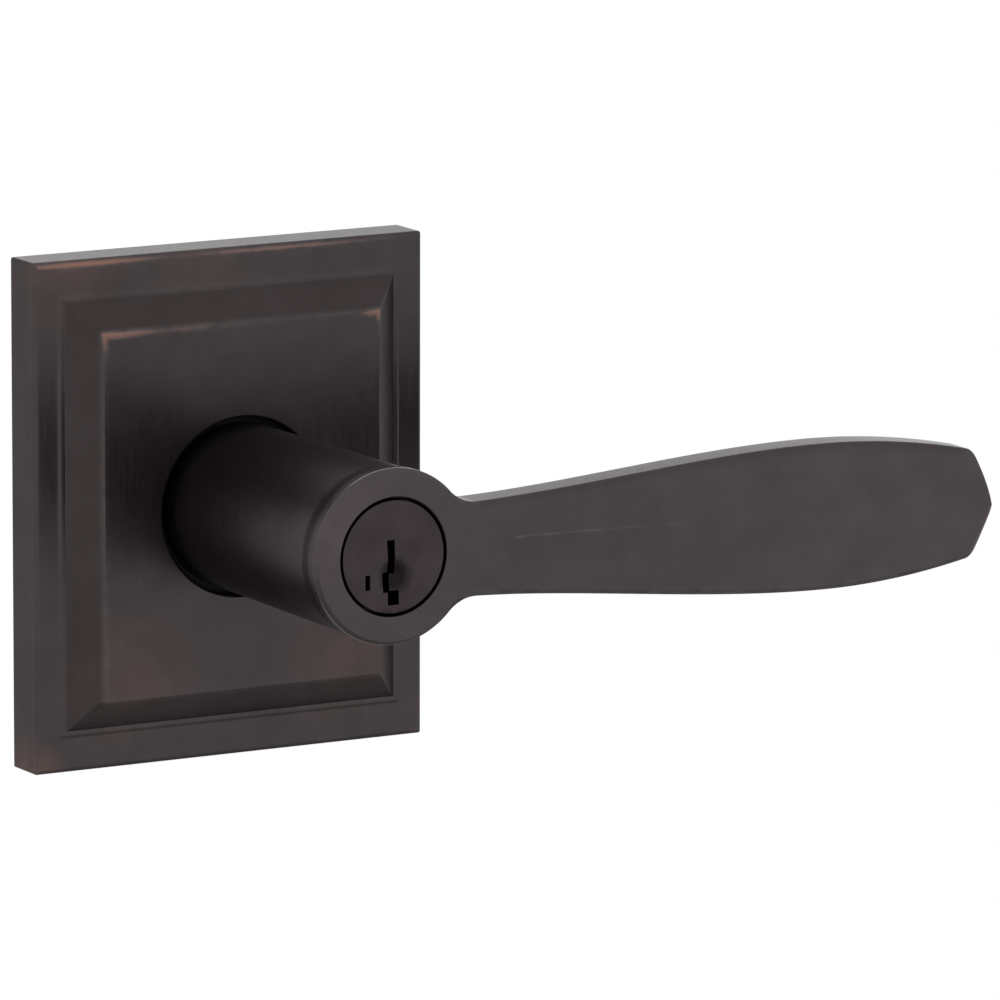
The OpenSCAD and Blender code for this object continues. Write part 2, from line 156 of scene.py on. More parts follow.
def rod(name, radius, start, end, sides=48):
    """A round rod between two frame points, as a tool for carve(). The radius is in metres too."""
    axis = end - start
    turn = axis.to_track_quat("Z", "Y").to_matrix().to_4x4()
    bm = bmesh.new()
    bmesh.ops.create_cone(
        bm, cap_ends=True, segments=sides, radius1=radius, radius2=radius, depth=axis.length,
        matrix=Matrix.Translation((start + end) / 2) @ turn,
    )
    mesh = bpy.data.meshes.new(name)
    bm.to_mesh(mesh)
    bm.free()
    tool = bpy.data.objects.new(name, mesh)
    bpy.context.scene.collection.objects.link(tool)
    return tool


def soften(piece, crease_deg=35, weld=False, edge=0.0):
    """Smooth shading with crisp creases, and on a CAD node its sharp edges broken by a small chamfer."""
    if weld:
        merge = piece.modifiers.new("weld", "WELD")
        merge.merge_threshold = 0.001 * MM
    if edge:
        bevel = piece.modifiers.new("edges", "BEVEL")
        bevel.width = edge * MM
        bevel.segments = 2
        bevel.limit_method = "ANGLE"
        bevel.angle_limit = math.radians(crease_deg)
        bevel.harden_normals = False
        bevel.use_clamp_overlap = True
    if not weld:
        piece.data.polygons.foreach_set("use_smooth", [True] * len(piece.data.polygons))
        bm = bmesh.new()
        bm.from_mesh(piece.data)
        for line in bm.edges:
            line.smooth = not (line.is_manifold and line.calc_face_angle() > math.radians(crease_deg))
        bm.to_mesh(piece.data)
        bm.free()
    normals = piece.modifiers.new("normals", "WEIGHTED_NORMAL")
    normals.keep_sharp = not weld
    normals.weight = 80


def mark(piece, name, amount):
    """Stores amount(x, up, out, sharpness) on each point, where sharpness is 1 on an outer edge."""
    bm = bmesh.new()
    bm.from_mesh(piece.data)
    values = []
    for vert in bm.verts:
        bends = [line.calc_face_angle_signed(0.0) for line in vert.link_edges if line.is_manifold]
        bend_deg = math.degrees(max(bends or [0.0]))
        sharpness = min(max((bend_deg - 4) / 8, 0.0), 1.0)
        x, y, z = vert.co / MM
        values.append(amount(x, z, -y, sharpness))
    bm.free()
    attribute = piece.data.attributes.new(name, "FLOAT", "POINT")
    attribute.data.foreach_set("value", values)


# ---------- rosette ----------

ROSETTE_FRONT = box_mm("rosette")[1][2]
# Half width and half height of the outline, the raised panel, the bevel's foot and the small step round it.
ROSETTE_HALF = box_mm("rosette")[1][:2]
ROSETTE_PANEL = (24.1, 28.8)
ROSETTE_FOOT = (28.8, 33.5)
ROSETTE_STEP = (29.7, 34.4)
ROSETTE_BORDER = 7.5
STEP_RISE = 0.2
ROSETTE_WALL = 2.2
ROSETTE_CORNER_R = 0.4
HOLE_R = 14.0
SIDE_STEPS = 13
CORNER_STEPS = 6


def rectangle(half_w, half_h, corner_r, out):
    """A rounded rectangle, anticlockwise from the middle of its right side."""
    quarter = []
    for i in range(SIDE_STEPS):
        quarter.append((half_w, (half_h - corner_r) * i / SIDE_STEPS))
    for i in range(CORNER_STEPS):
        a = math.pi / 2 * i / CORNER_STEPS
        inward, down = corner_r * (1 - math.cos(a)), corner_r * (1 - math.sin(a))
        quarter.append((half_w - inward, half_h - down))
    for i in range(SIDE_STEPS):
        quarter.append(((half_w - corner_r) * (1 - i / SIDE_STEPS), half_h))
    mirrored = [(-x, up) for x, up in reversed([(half_w, 0)] + quarter[1:])]
    upper = quarter + [(0, half_h)] + mirrored[:-1]
    return [place(x, up, out) for x, up in upper + [(-x, -up) for x, up in upper]]


def circle_loop(radius, out):
    """A circle with as many points as rectangle() gives."""
    count = 4 * (2 * SIDE_STEPS + CORNER_STEPS)
    angles = [2 * math.pi * i / count for i in range(count)]
    return [place(radius * math.cos(a), radius * math.sin(a), out) for a in angles]


def rosette_loops():
    """The cast rosette's surface, from its back rim over the front and down the inside."""
    edge_r = 0.7
    panel_r = 0.35
    lip_r = 0.4
    step_out = ROSETTE_BORDER + STEP_RISE
    slope = math.atan2(ROSETTE_FRONT - step_out, ROSETTE_FOOT[0] - ROSETTE_PANEL[0])
    steep = math.tan(slope)
    loops = []

    def around(points, base, corner_r):
        """Loops for profile points whose first number is measured from the base rectangle."""
        for across, out in points:
            loops.append(rectangle(base[0] + across, base[1] + across, max(corner_r + across, 0.12), out))

    around([(0, 0), (0, 3), (0, ROSETTE_BORDER - 1.3)], ROSETTE_HALF, ROSETTE_CORNER_R)
    around(arc((-edge_r, ROSETTE_BORDER - edge_r), edge_r, 0, 90, 6), ROSETTE_HALF, ROSETTE_CORNER_R)
    around([(-1.2, ROSETTE_BORDER), (-1.9, ROSETTE_BORDER)], ROSETTE_HALF, 1.5)
    step = [(0.8, 0), (0.3, 0), (0.12, 0.03), (0, STEP_RISE / 2)]
    step += [(-0.12, STEP_RISE - 0.03), (-0.3, STEP_RISE)]
    around([(across, ROSETTE_BORDER + rise) for across, rise in step], ROSETTE_STEP, 0.3)
    groove = [(0.12, step_out), (0.0, step_out - 0.02), (-0.12, step_out + 0.12 * steep)]
    around(groove + [(-0.6, step_out + 0.6 * steep)], ROSETTE_FOOT, 0.2)
    around([(0.8, ROSETTE_FRONT - 0.8 * steep)], ROSETTE_PANEL, 0.2)
    panel_centre = (-panel_r * math.tan(slope / 2), ROSETTE_FRONT - panel_r)
    around(arc(panel_centre, panel_r, 90 - math.degrees(slope), 90, 4), ROSETTE_PANEL, 0.3)
    around([(-0.7, ROSETTE_FRONT), (-1.2, ROSETTE_FRONT)], ROSETTE_PANEL, 1.4)
    loops.append(circle_loop(HOLE_R + 2.5, ROSETTE_FRONT))
    for radius, out in arc((HOLE_R + lip_r, ROSETTE_FRONT - lip_r), lip_r, 90, 180, 5):
        loops.append(circle_loop(radius, out))
    ceiling = ROSETTE_FRONT - ROSETTE_WALL
    shelf = ROSETTE_BORDER - ROSETTE_WALL
    loops.append(circle_loop(HOLE_R, ceiling))
    panel_inside = [half - ROSETTE_WALL for half in ROSETTE_PANEL]
    border_inside = [half - ROSETTE_WALL for half in ROSETTE_HALF]
    around([(0, ceiling), (0, shelf)], panel_inside, 1.2)
    around([(0, shelf), (0, 0.3), (0.3, 0)], border_inside, 1.2)
    return loops


def fade(distance, reach):
    """1 at a place, falling softly to almost nothing at twice the reach."""
    return math.exp(-(distance / reach) ** 2)


def rosette_wear_and_highlight(x, up, out, sharpness):
    """How far the finish is rubbed back, in soft bands beside the top edges and the panel's left edge:
    rubbed copper at the outer top edge and the corners, painted highlight in the lighter lines along the
    panel's left and top edges.
    """
    past_panel = max(abs(x) - ROSETTE_PANEL[0], abs(up) - ROSETTE_PANEL[1])
    from_side = ROSETTE_HALF[0] - abs(x)
    from_top = ROSETTE_HALF[1] - up
    panel_band = max(1 - abs(past_panel + 0.25) / 0.85, 0.0)
    rim_band = max(1 - abs(min(from_side, from_top) - 0.7) / 0.75, 0.0)
    # Along the panel's edges the bands are mostly painted highlight lines; the top-left corner is rubbed
    # copper.
    if panel_band:
        rub_and_highlight = 0.05
        if up > 28:
            rub_and_highlight = max(0.2, fade(x + 23, 9), 0.45 * fade(x + 10, 14), fade(x - 24, 3))
        elif x < -23:
            rub_and_highlight = max(0.3, fade(up - 29, 3))
        elif x > 23:
            rub_and_highlight = max(rub_and_highlight, 0.6 * fade(up - 29, 3))
        return panel_band * rub_and_highlight
    if from_top <= from_side:
        return rim_band * max(0.15, fade(x + 25, 13), 0.62 * fade(x - 8, 21))
    return rim_band * max(0.05, 0.3 * fade(math.hypot(from_side, up + ROSETTE_HALF[1]), 5))


def rosette_painted_shade(x, up, out, sharpness):
    """Painted shade, as a share: 0.9 on the bevel but 0.6 on its lower side and none on its right side, and
    on the outer sides from 0.6 rising towards the right.
    """
    across, along = abs(x) - ROSETTE_PANEL[0], abs(up) - ROSETTE_PANEL[1]
    if 0.3 < max(across, along) < 4.6:
        if x > 0 and across > along:
            return 0.0
        return 0.6 if up < 0 and along > across else 0.9
    return 0.6 + 0.4 * smoothstep((x + 15) / 45) if out < ROSETTE_BORDER - 1.2 else 0.0


def make_rosette():
    piece = new_object("rosette_casting", *loft(rosette_loops(), closed=True))
    soften(piece)
    # Rubbed copper and painted edge highlights, stored on the points.
    mark(piece, "wear_and_highlight", rosette_wear_and_highlight)
    # Painted shade on the bevel and the outer sides, stored on the points.
    mark(piece, "painted_shade", rosette_painted_shade)
    warm = (0.14, 0.084, 0.07)
    patches = [
        ((-19, -26, ROSETTE_FRONT), 13, warm),
        ((19, -26, ROSETTE_FRONT), 13, warm),
        ((-28, 39, ROSETTE_BORDER), 12, warm),
        ((-5, 39, ROSETTE_BORDER), 12, (0.11, 0.08, 0.07)),
        ((-34, -40, 4), 7, (0.36, 0.17, 0.13)),
    ]
    # Copper for the rubbed edges; its fainter tone also paints the highlight lines.
    copper_and_highlight = (0.115, 0.093, 0.09), (0.25, 0.135, 0.105)
    piece.data.materials.append(bronze("rosette_bronze", 0.95, copper_and_highlight, patches))
    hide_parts("rosette")
    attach(piece, "chassis")


# ---------- lever ----------

LEVER_BACK = box_mm("lever_handle")[0][2]
LEVER_REACH, _, LEVER_FRONT = box_mm("lever_handle")[1]
WAIST_X = 14.6
WAIST_H = 7.3
BELLY_H = 11.5
SHOULDER_H = 8.55
TIP_DROP = 0.5
GRIP_T = 6.5
GRIP_DROOP = math.radians(0.5)
HEAD_R = 13.6
NECK_R = 13.0
HUB_R = 11.0
HUB_TOP = 9.6
POCKET_R = 9.15
SLEEVE_BORE_R = 8.55
CATCH_HOLE_R = 2.2
WEB_R = 7.65
WEB_BACK = 30.5
WEB_FRONT = 33.0
GRIP_EDGE_R = 0.85
# The grip's front lies this far behind the head's, so that the two surfaces join cleanly.
GRIP_INSET = 0.015
HEAD_RIM_OUT = LEVER_FRONT - 1.2


def grip_edge():
    """Upper outline of the grip as points (x, up), from inside the neck to the tip."""
    root_x = 9.2
    belly_x = LEVER_REACH * 0.712
    shoulder_x = LEVER_REACH - 4.8
    root_steps, swell_steps, fall_steps = 16, 36, 18
    points = [(7.2, 10.5), (8.0, 10.46), (8.7, 10.3)]
    # down from the head's side to the waist
    for i in range(root_steps + 1):
        x = root_x + (WAIST_X - root_x) * i / root_steps
        points.append((x, WAIST_H + 2.3 * ((WAIST_X - x) / 5.0) ** 2.2))
    # up to the belly, in closer steps near the neck
    for i in range(1, swell_steps + 1):
        t = (i / swell_steps) ** 1.25
        ease = 3 * t * t - 2 * t ** 3 + 0.5 * (t - 2 * t * t + t ** 3)
        points.append((WAIST_X + (belly_x - WAIST_X) * t, WAIST_H + (BELLY_H - WAIST_H) * ease))
    # a shallow parabola down to the shoulder
    fall = (BELLY_H - SHOULDER_H) / (LEVER_REACH - 4 - belly_x) ** 2
    for i in range(1, fall_steps + 1):
        x = belly_x + (shoulder_x - belly_x) * i / fall_steps
        points.append((x, BELLY_H - fall * (x - belly_x) ** 2))
    # the rounded shoulder and the bowed side of the tip
    shoulder_end = (LEVER_REACH - 3.0, SHOULDER_H - 1.5)
    points += bezier(points[-1], (LEVER_REACH - 3.8, SHOULDER_H - 0.05), shoulder_end, 8)
    points += bezier(shoulder_end, (LEVER_REACH - 0.45, 2.25), (LEVER_REACH, 0.0), 12)
    return points


def outward(points):
    """Unit normals (x, up) of the upper outline, pointing out of the grip. The last one points along x."""
    normals = []
    for i in range(len(points) - 1):
        back, ahead = points[max(i - 1, 0)], points[i + 1]
        dx, up = ahead[0] - back[0], ahead[1] - back[1]
        length = math.hypot(dx, up)
        normals.append((-up / length, dx / length))
    return normals + [(1.0, 0.0)]


def drooped(x, up, out):
    """A point of the level grip, turned down a little about the spindle."""
    c, s = math.cos(GRIP_DROOP), math.sin(GRIP_DROOP)
    return place(c * x + s * up, c * up - s * x, out)


def crease(x):
    """The short crease on the grip's front: its place as a share of the half height, and its presence."""
    middle = 0.21 * (1 - smoothstep((x - 15) / 75))
    presence = smoothstep((x - 19) / 4) * (1 - smoothstep((x - 48) / 8))
    return middle, presence


def grip_back(x, up):
    """How far out the grip's back face lies, sweeping down where it meets the neck."""
    sweep = 2.3
    reach_in = (NECK_R + sweep - math.hypot(x, up)) / (sweep + 0.4)
    return LEVER_FRONT - GRIP_T - sweep * min(max(reach_in, 0.0), 1.0) ** 2


def grip_side(x, up, normal, edge_top):
    """The rounded upper side of the grip at one point of its outline, from front to back."""
    rounding_steps = 5
    side = []
    for offset, drop in arc((GRIP_EDGE_R, -GRIP_EDGE_R), GRIP_EDGE_R, 90, 180, rounding_steps):
        side.append((x - normal[0] * offset, up - normal[1] * offset, edge_top + drop))
    for offset, drop in arc((GRIP_EDGE_R, GRIP_EDGE_R), GRIP_EDGE_R, 180, 270, rounding_steps):
        side_x, side_up = x - normal[0] * offset, up - normal[1] * offset
        side.append((side_x, side_up, grip_back(side_x, side_up) + drop))
    return [(side_x, max(side_up, 0.0), out) for side_x, side_up, out in side]


def grip_front(x, edge_x, edge_up, fall):
    """The grip's front from its lower to its upper side, highest at the crease and falling to the edges."""
    half_steps = 11
    middle, presence = crease(x)
    crest = min(0.35 / max(edge_up, 0.1), 0.05)
    low_shares = [-1 + (middle - crest + 1) * i / half_steps for i in range(1, half_steps + 1)]
    high_shares = [middle + crest + (1 - middle - crest) * i / half_steps for i in range(half_steps)]
    row = []
    for share in low_shares + [middle] + high_shares:
        from_crease = (share - middle) / (1 - math.copysign(middle, share - middle))
        rise = 0.04 * presence if share == middle else 0.0
        row.append((edge_x, edge_up * share, LEVER_FRONT - GRIP_INSET - fall * abs(from_crease) + rise))
    return row


def make_grip():
    """The flat leaf-shaped grip: a rounded slab whose front falls away a little from its crease."""
    outline = grip_edge()
    loops = []
    for (x, up), normal in zip(outline, outward(outline)):
        fall = 0.2 * smoothstep((x - 13.5) / 10) * (1 - smoothstep((x - 55) / 40))
        upper = grip_side(x, up, normal, LEVER_FRONT - GRIP_INSET - fall)
        lower = [(side_x, -side_up, out) for side_x, side_up, out in reversed(upper)]
        front_across = grip_front(x, upper[0][0], upper[0][1], fall)
        back_x, back_up = upper[-1][0], upper[-1][1]
        count = len(front_across) + 1
        heights = [back_up * (1 - 2 * k / count) for k in range(1, count)]
        back_across = [(back_x, height, grip_back(back_x, height)) for height in heights]
        sag = TIP_DROP * max(1 - (LEVER_REACH - x) / 2, 0.0) ** 2
        ring = upper + back_across + lower + front_across
        loops.append([drooped(point_x, height - sag, out) for point_x, height, out in ring])
    verts, faces = loft(loops)
    faces.append(tuple(range(len(loops[0]))))
    return new_object("grip", verts, faces)


def neck_profile():
    """The hub, the neck with its soft flare and the head's chamfered rim, before the pocket is cut."""
    chamfer = 0.6
    rim_r = 0.2
    neck_start = HUB_TOP + 0.4
    neck_steps, flare_steps = 10, 8
    flare_start = LEVER_FRONT - 5.0
    flare_end = LEVER_FRONT - 1.6
    flare_start_r = HEAD_R - 0.25
    profile = [(SLEEVE_BORE_R, LEVER_BACK), (HUB_R - 0.2, LEVER_BACK), (HUB_R, LEVER_BACK + 0.2)]
    profile += [(HUB_R, HUB_TOP), (NECK_R - 0.45, HUB_TOP)]
    profile += arc((NECK_R - 0.4, neck_start), 0.4, -60, 0, 3)
    for i in range(1, neck_steps + 1):
        t = i / neck_steps
        profile.append((NECK_R + (flare_start_r - NECK_R) * t, neck_start + (flare_start - neck_start) * t))
    for i in range(1, flare_steps + 1):
        t = i / flare_steps
        radius = flare_start_r + (HEAD_R - flare_start_r) * smoothstep(t)
        profile.append((radius, flare_start + (flare_end - flare_start) * t))
    profile.append((HEAD_R, LEVER_FRONT - chamfer - 0.3))
    profile += arc((HEAD_R - rim_r, LEVER_FRONT - chamfer - 0.08), rim_r, 0, 45, 4)
    profile.append((HEAD_R - 0.3, LEVER_FRONT - chamfer + 0.3))
    across_front = [HEAD_R - chamfer - 0.02, HEAD_R - chamfer - 0.25, POCKET_R + 2.2, WEB_R]
    profile += [(radius, LEVER_FRONT) for radius in across_front]
    return profile + [(WEB_R, WEB_BACK), (SLEEVE_BORE_R, WEB_BACK)]


def pocket_tool():
    """What is cut out for the key cylinder, with a rounded mouth."""
    mouth_r = 0.25
    profile = [(0.0, WEB_FRONT), (POCKET_R, WEB_FRONT)]
    profile += arc((POCKET_R + mouth_r, LEVER_FRONT - mouth_r), mouth_r, 180, 90, 4)
    profile += [(POCKET_R + mouth_r, LEVER_FRONT + 1), (0.0, LEVER_FRONT + 1)]
    return new_object("pocket", *lathe(profile))


def lever_painted_highlight(x, up, out, sharpness):
    """Painted highlights, laid on as lighter bared metal: on the head's rim, more below and above, along
    the grip's crease and its lower edge.
    """
    radius = math.hypot(x, up)
    if radius < HEAD_R + 0.3:
        on_rim = radius > HEAD_R - 0.25 and x < 8.6 and out > HEAD_RIM_OUT
        below = smoothstep((-up - 4) / 5)
        above = smoothstep((up - 10.5) / 2)
        return sharpness * (0.3 + 0.6 * below + 0.5 * above) if on_rim else 0.0
    if 20 < x < 56 and abs(up) < 2.5:
        return sharpness * (0.36 - 0.14 * smoothstep((x - 34) / 10))
    return 0.36 * sharpness if up < -1.5 else 0.0


def lever_painted_shade(x, up, out, sharpness):
    """Painted shade along the grip's upper rounded edge."""
    on_upper_edge = math.hypot(x, up) > HEAD_R + 3 and up > 3 and x < LEVER_REACH - 5.8
    return 0.4 * sharpness if on_upper_edge else 0.0


def make_lever():
    piece = new_object("lever_casting", *lathe(neck_profile()))
    carve(piece, make_grip(), "UNION")
    carve(piece, pocket_tool(), "DIFFERENCE")
    low, high = box_mm("lever_catch")
    catch_out = (low[2] + high[2]) / 2
    hole_start = place(0, -7.0, catch_out)
    hole_end = place(0, -NECK_R - 2, catch_out)
    carve(piece, rod("catch_hole", CATCH_HOLE_R * MM, hole_start, hole_end), "DIFFERENCE")
    soften(piece)
    # Painted highlights on the head's rim, the crease and the lower edge, stored on the points.
    mark(piece, "wear_and_highlight", lever_painted_highlight)
    # Painted shade along the grip's upper edge, stored on the points.
    mark(piece, "painted_shade", lever_painted_shade)
    piece.data.materials.clear()
    patches = [
        ((-9, 5, LEVER_FRONT), 11, (0.13, 0.10, 0.105)),
        ((LEVER_REACH - 8, -2, LEVER_FRONT), 45, (0.098, 0.086, 0.084)),
    ]
    # Light grey tones for the painted highlights.
    metal = (0.11, 0.096, 0.094), (0.42, 0.37, 0.36)
    piece.data.materials.append(bronze("lever_bronze", 1.07, metal, patches))
    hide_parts("lever_handle")
    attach(piece, "lever")


# ---------- springs ------------------------


def coil_spring(name, x, out, low, high):
    """A closed helical spring round an upright axis, its wire's outside just between two heights."""
    wire_r = 0.15
    mean_r = 0.95
    turns = 4
    steps = 18
    wire_sides = 8
    pitch = (high - low - 2 * wire_r) / turns
    lean = math.atan2(pitch, 2 * math.pi * mean_r)
    loops = []
    for i in range(turns * steps + 1):
        a = 2 * math.pi * i / steps
        ring = []
        for k in range(wire_sides):
            b = 2 * math.pi * k / wire_sides
            radius = mean_r + wire_r * math.cos(b)
            turned = a - wire_r * math.sin(b) * math.sin(lean) / mean_r
            up = low + wire_r + pitch * i / steps + wire_r * math.sin(b) * math.cos(lean)
            ring.append(place(x + radius * math.cos(turned), up, out + radius * math.sin(turned)))
        loops.append(ring)
    verts, faces = loft(loops)
    faces += [tuple(range(wire_sides)), tuple(range(len(verts) - wire_sides, len(verts)))]
    return new_object(name, verts, faces)


def make_tumbler_springs(finish):
    """Five springs between the tumblers and the chamber cap, each shortened by its own tumbler."""
    cap_bottom = box_mm("chamber_cap")[0][1]
    for number in range(1, 6):
        low, high = box_mm(f"tumbler_{number}")
        x, out = (low[0] + high[0]) / 2, (low[2] + high[2]) / 2
        spring = coil_spring(f"tumbler_spring_{number}", x, out, high[1] + 0.02, cap_bottom - 0.02)
        soften(spring, 60)
        spring.data.materials.append(finish)
        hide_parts("tumbler_springs")
        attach(spring, "plug")
        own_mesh(spring)


def make_catch_spring(finish):
    """The catch's hairpin strip: an arch with two feet."""
    low, high = box_mm("catch_spring")
    strip_t = 0.4
    bend_r = 0.3
    foot_gap = 1.6
    arch_steps = 64
    foot_up = low[1] + strip_t
    strip_r = high[0]
    start = math.degrees(math.asin(foot_up / strip_r))
    outside = arc((0, 0), strip_r, start, 180 - start, arch_steps)
    inner_r = strip_r - strip_t
    inner_start = math.degrees(math.asin(foot_up / inner_r))
    inside = arc((0, 0), inner_r, 180 - inner_start, inner_start, arch_steps)
    left_foot = [(-strip_r + bend_r, low[1]), (-foot_gap, low[1]), (-foot_gap, foot_up)]
    right_foot = [(-x, up) for x, up in reversed(left_foot)]
    outline = outside + left_foot + inside + right_foot
    loops = [[place(x, up, out) for x, up in outline] for out in (low[2], high[2])]
    verts, faces = loft(loops)
    count = len(outline)
    faces += [tuple(range(count)), tuple(range(count, 2 * count))]
    spring = new_object("catch_hairpin", verts, faces)
    soften(spring)
    spring.data.materials.append(finish)
    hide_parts("catch_spring")
    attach(spring, "lever")
    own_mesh(spring)


# ---------- materials ----------

class Shader:
    """A material with short ways to add its nodes and links."""

    def __init__(self, name):
        self.material = bpy.data.materials.new(name)
        self.material.use_nodes = True
        self.tree = self.material.node_tree
        self.surface = self.tree.nodes["Principled BSDF"]

    def add(self, kind, **settings):
        node = self.tree.nodes.new(kind)
        for key, value in settings.items():
            setattr(node, key, value)
        return node

    def feed(self, socket, value):
        """Links a socket, or sets it to a plain value."""
        if isinstance(value, bpy.types.NodeSocket):
            self.tree.links.new(value, socket)
        else:
            socket.default_value = value

    def set(self, **values):
        """Sets or links sockets of the surface shader; an underscore stands for a space."""
        for key, value in values.items():
            self.feed(self.surface.inputs[key.replace("_", " ")], value)

    def noise(self, per_mm, stretch=(1, 1, 1), detail=3.0, roughness=0.55):
        """Noise with so many waves to the millimetre along each axis, before the stretch."""
        where = self.add("ShaderNodeTexCoord").outputs["Object"]
        mapping = self.add("ShaderNodeMapping")
        mapping.inputs["Scale"].default_value = [per_mm / MM / s for s in stretch]
        self.feed(mapping.inputs["Vector"], where)
        noise = self.add("ShaderNodeTexNoise")
        noise.inputs["Scale"].default_value = 1.0
        noise.inputs["Detail"].default_value = detail
        noise.inputs["Roughness"].default_value = roughness
        self.feed(noise.inputs["Vector"], mapping.outputs[0])
        return noise.outputs[0]

    def ramp(self, value, low, high, to_low=0.0, to_high=1.0):
        """Maps low..high to to_low..to_high, held inside that range."""
        node = self.add("ShaderNodeMapRange")
        self.feed(node.inputs["Value"], value)
        self.feed(node.inputs["From Min"], low)
        self.feed(node.inputs["From Max"], high)
        self.feed(node.inputs["To Min"], to_low)
        self.feed(node.inputs["To Max"], to_high)
        return node.outputs[0]

    def combine(self, operation, a, b):
        """Two values put through a math operation."""
        node = self.add("ShaderNodeMath", operation=operation)
        self.feed(node.inputs[0], a)
        self.feed(node.inputs[1], b)
        return node.outputs[0]

    def mix(self, amount, a, b):
        """A colour between two colours."""
        node = self.add("ShaderNodeMix", data_type="RGBA")
        self.feed(node.inputs["Factor"], amount)
        self.feed(node.inputs[6], a)
        self.feed(node.inputs[7], b)
        return node.outputs[2]

    def along(self, axis, low, high):
        """0 at one place along a frame axis and 1 at another, in millimetres."""
        split = self.add("ShaderNodeSeparateXYZ")
        self.feed(split.inputs[0], self.add("ShaderNodeTexCoord").outputs["Object"])
        return self.ramp(split.outputs[axis], low * MM, high * MM)

    def near(self, x, up, out, reach):
        """1 at a point of the door-plane drawing, falling evenly to 0 at the reach, all in millimetres."""
        distance = self.add("ShaderNodeVectorMath", operation="DISTANCE")
        self.feed(distance.inputs[0], self.add("ShaderNodeTexCoord").outputs["Object"])
        distance.inputs[1].default_value = place(x, up, out)
        return self.ramp(distance.outputs["Value"], 0.0, reach * MM, 1.0, 0.0)

    def bump(self, height, depth_mm, strength=1.0):
        node = self.add("ShaderNodeBump")
        node.inputs["Strength"].default_value = strength
        node.inputs["Distance"].default_value = depth_mm * MM
        self.feed(node.inputs["Height"], height)
        self.set(Normal=node.outputs[0])


def bronze(name, shade, metal, patches):
    """Dark rubbed bronze: satin and faintly brushed, with warmer patches, marked painted shade, and marked
    rubbed edges and painted highlights.

    metal is the faintly and the fully bared colour, also used for painted highlights. A patch is (its
    middle, its reach, its colour).
    """
    s = Shader(name)
    streaks = s.noise(2.2, stretch=(1, 1, 14), detail=4)
    mottle = s.noise(0.16, detail=4, roughness=0.6)
    fine = s.noise(9.0, detail=2)

    def tone(*colour):
        return [*(shade * part for part in colour), 1]

    patina_and_shade = s.mix(s.ramp(mottle, 0.35, 0.65), tone(0.058, 0.050, 0.052), tone(0.068, 0.058, 0.061))
    patina_and_shade = s.mix(s.ramp(streaks, 0.3, 0.8, 0.0, 0.3), patina_and_shade, tone(0.076, 0.063, 0.063))
    for place_mm, reach, colour in patches:
        amount = s.combine("MULTIPLY", s.near(*place_mm, reach), s.ramp(mottle, 0.3, 0.6, 0.2, 0.32))
        patina_and_shade = s.mix(amount, patina_and_shade, (*colour, 1))
    # Painted shade: where marked, the colour darkens, a little unevenly with the mottle.
    painted_shade = s.add("ShaderNodeAttribute", attribute_name="painted_shade").outputs["Fac"]
    painted_shade = s.combine("MULTIPLY", painted_shade, s.ramp(mottle, 0.35, 0.65, 1.0, 0.75))
    patina_and_shade = s.mix(painted_shade, patina_and_shade, (0.044, 0.035, 0.036, 1))
    # Rubbed edges and painted highlights: where marked, the colour turns to the bared tones, broken up by
    # noise.
    wear_and_highlight = s.add("ShaderNodeAttribute", attribute_name="wear_and_highlight").outputs["Fac"]
    worn = s.noise(0.6, stretch=(1.8, 1, 1), detail=4, roughness=0.6)
    uneven = s.combine("ADD", wear_and_highlight, s.ramp(worn, 0.3, 0.7, -0.3, 0.3))
    amount = s.combine("MULTIPLY", s.ramp(wear_and_highlight, 0.0, 0.5), s.ramp(uneven, 0.0, 0.5))
    faint_and_highlight, bare_and_highlight = metal
    s.set(Base_Color=s.mix(amount, patina_and_shade, s.mix(s.ramp(wear_and_highlight, 0.3, 0.9), (*faint_and_highlight, 1), (*bare_and_highlight, 1))))
    grain = s.ramp(streaks, 0.25, 0.75, 0.27, 0.36)
    s.set(Roughness=s.combine("ADD", grain, s.ramp(fine, 0.3, 0.7, -0.02, 0.03)))
    s.set(Metallic=1.0, Specular_Tint=(0.65, 0.65, 0.65, 1))
    s.bump(s.combine("ADD", streaks, s.combine("MULTIPLY", fine, 0.6)), 0.003)
    return s.material


def plug_bronze(name):
    """The plug's face: the same dark finish over turned brass, with painted shade in the hollow round the
    keyway and deep inside the keyway.
    """
    s = Shader(name)
    face_out = box_mm("key_plug")[1][2]
    mottle = s.noise(0.2, detail=2)
    fine = s.noise(7.0, detail=2)
    patina_and_shade = s.mix(s.ramp(mottle, 0.3, 0.7), (0.044, 0.035, 0.038, 1), (0.054, 0.044, 0.046, 1))
    # Painted shade darkening the hollow round the keyway.
    dish_shade = s.ramp(s.near(0.35, -3.05, face_out - 0.5, 3.7), 0.1, 0.6, 0.0, 0.9)
    patina_and_shade = s.mix(dish_shade, patina_and_shade, (0.012, 0.009, 0.010, 1))
    # Painted shade darkening all that lies more than 0.6 mm behind the face, inside the keyway.
    inside = s.along("Y", 0.6 - face_out, 2.6 - face_out)
    s.set(Base_Color=s.mix(inside, patina_and_shade, (0.016, 0.012, 0.012, 1)))
    s.set(Roughness=s.ramp(fine, 0.3, 0.7, 0.27, 0.37))
    s.set(Metallic=1.0, Specular_Tint=(0.6, 0.6, 0.6, 1))
    s.bump(fine, 0.004)
    return s.material


